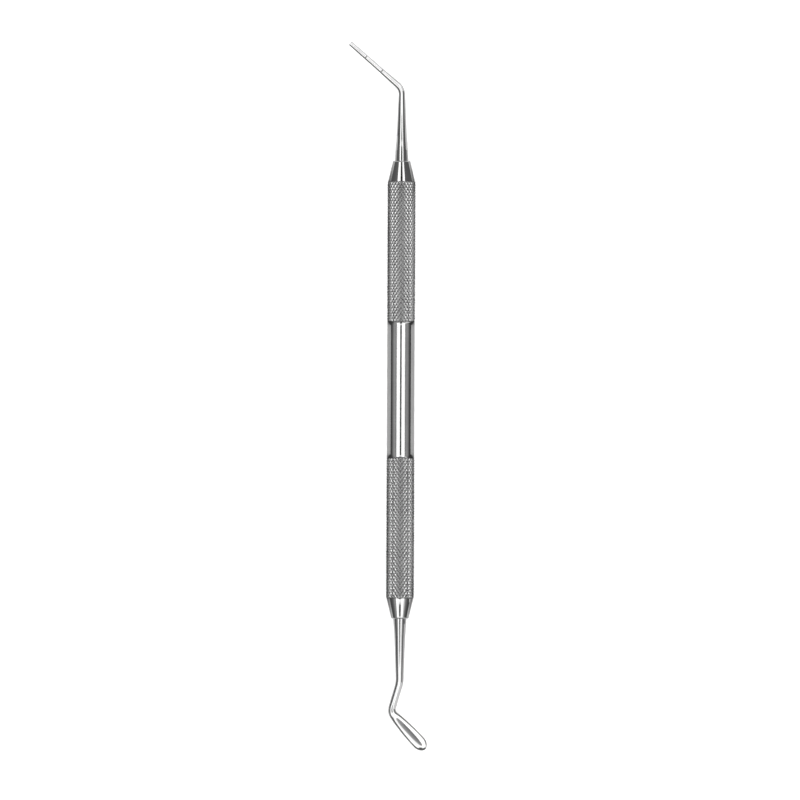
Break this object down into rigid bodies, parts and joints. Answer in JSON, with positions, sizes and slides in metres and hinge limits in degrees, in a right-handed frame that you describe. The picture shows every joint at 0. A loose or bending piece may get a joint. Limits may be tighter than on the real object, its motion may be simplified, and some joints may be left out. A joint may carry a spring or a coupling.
{
  "type": "double-ended dental plugger and spatula",
  "caption": "Double-ended dental hand instrument: hollow knurled handle with a graduated straight plugger at one end and a crowned spatula blade at the other.",
  "frame": {"origin": "on the handle's axis, at the middle of its smooth grip band", "axes": "+X along the handle towards the plugger; both bent ends lie in the XY plane, the plugger leaning to +Y; +Z is square to that plane"},
  "size_m": [0.1684, 0.0192, 0.0066],
  "materials": {
    "handle_steel": "satin knurl, fine-turned smooth band",
    "cone_steel": "bright turned",
    "plugger_steel": "polished",
    "spatula_steel": "polished, lightly brushed blade"
  },
  "bodies": {
    "root": {"handle_tube": "handle_steel", "plugger_nose_cone": "cone_steel", "spatula_nose_cone": "cone_steel", "plugger_working_end": "plugger_steel", "spatula_working_end": "spatula_steel"}
  },
  "joints": []
}
